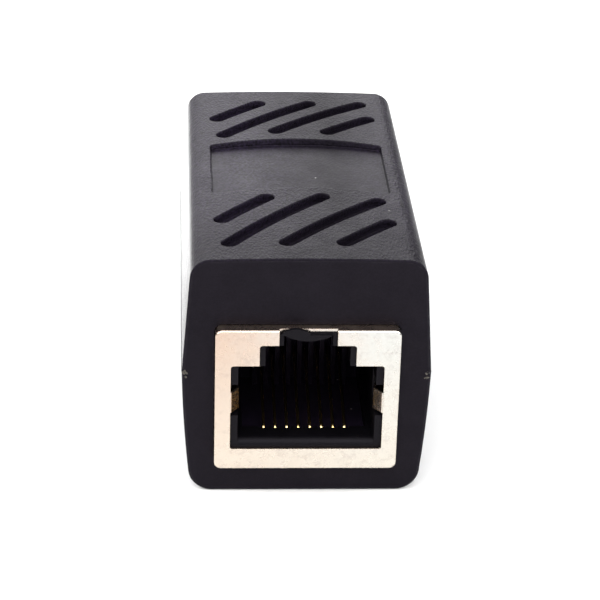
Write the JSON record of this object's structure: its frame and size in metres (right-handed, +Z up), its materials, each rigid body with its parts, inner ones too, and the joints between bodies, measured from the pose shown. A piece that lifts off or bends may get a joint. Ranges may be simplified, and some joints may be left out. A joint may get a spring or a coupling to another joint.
{
  "type": "rj45 inline coupler",
  "caption": "Shielded inline coupler with a modular socket at each end, for joining two network patch cords end to end.",
  "frame": {"origin": "bottom centre of the moulded body, midway between the two socket faces", "axes": "+Z up, with the latch slots on top; +Y along the body from the front socket to the rear socket; +X to the right of the front socket seen from its mouth"},
  "size_m": [0.0216, 0.0424, 0.0225],
  "materials": {
    "body_plastic": "soft black PVC, finely spark-eroded on top, smooth on the ends",
    "shield_plating": "nickel-plated brass sheet, semi-bright, warm",
    "housing_plastic": "black glass-filled PBT, satin",
    "carrier_plastic": "black PBT, satin",
    "contact_gold": "phosphor bronze spring wire with a thin gold plate",
    "board_laminate": "green solder mask over glass-epoxy laminate",
    "solder": "bright tin solder"
  },
  "bodies": {
    "root": {"overmould_body": "body_plastic", "circuit_board": "board_laminate", "front_shield": "shield_plating", "front_jack_housing": "housing_plastic", "front_contact_carrier": "carrier_plastic", "front_solder_joints": "solder", "front_contact_1": "contact_gold", "front_contact_2": "contact_gold", "front_contact_3": "contact_gold", "front_contact_4": "contact_gold", "front_contact_5": "contact_gold", "front_contact_6": "contact_gold", "front_contact_7": "contact_gold", "front_contact_8": "contact_gold", "rear_shield": "shield_plating", "rear_jack_housing": "housing_plastic", "rear_contact_carrier": "carrier_plastic", "rear_solder_joints": "solder", "rear_contact_1": "contact_gold", "rear_contact_2": "contact_gold", "rear_contact_3": "contact_gold", "rear_contact_4": "contact_gold", "rear_contact_5": "contact_gold", "rear_contact_6": "contact_gold", "rear_contact_7": "contact_gold", "rear_contact_8": "contact_gold"}
  },
  "joints": []
}
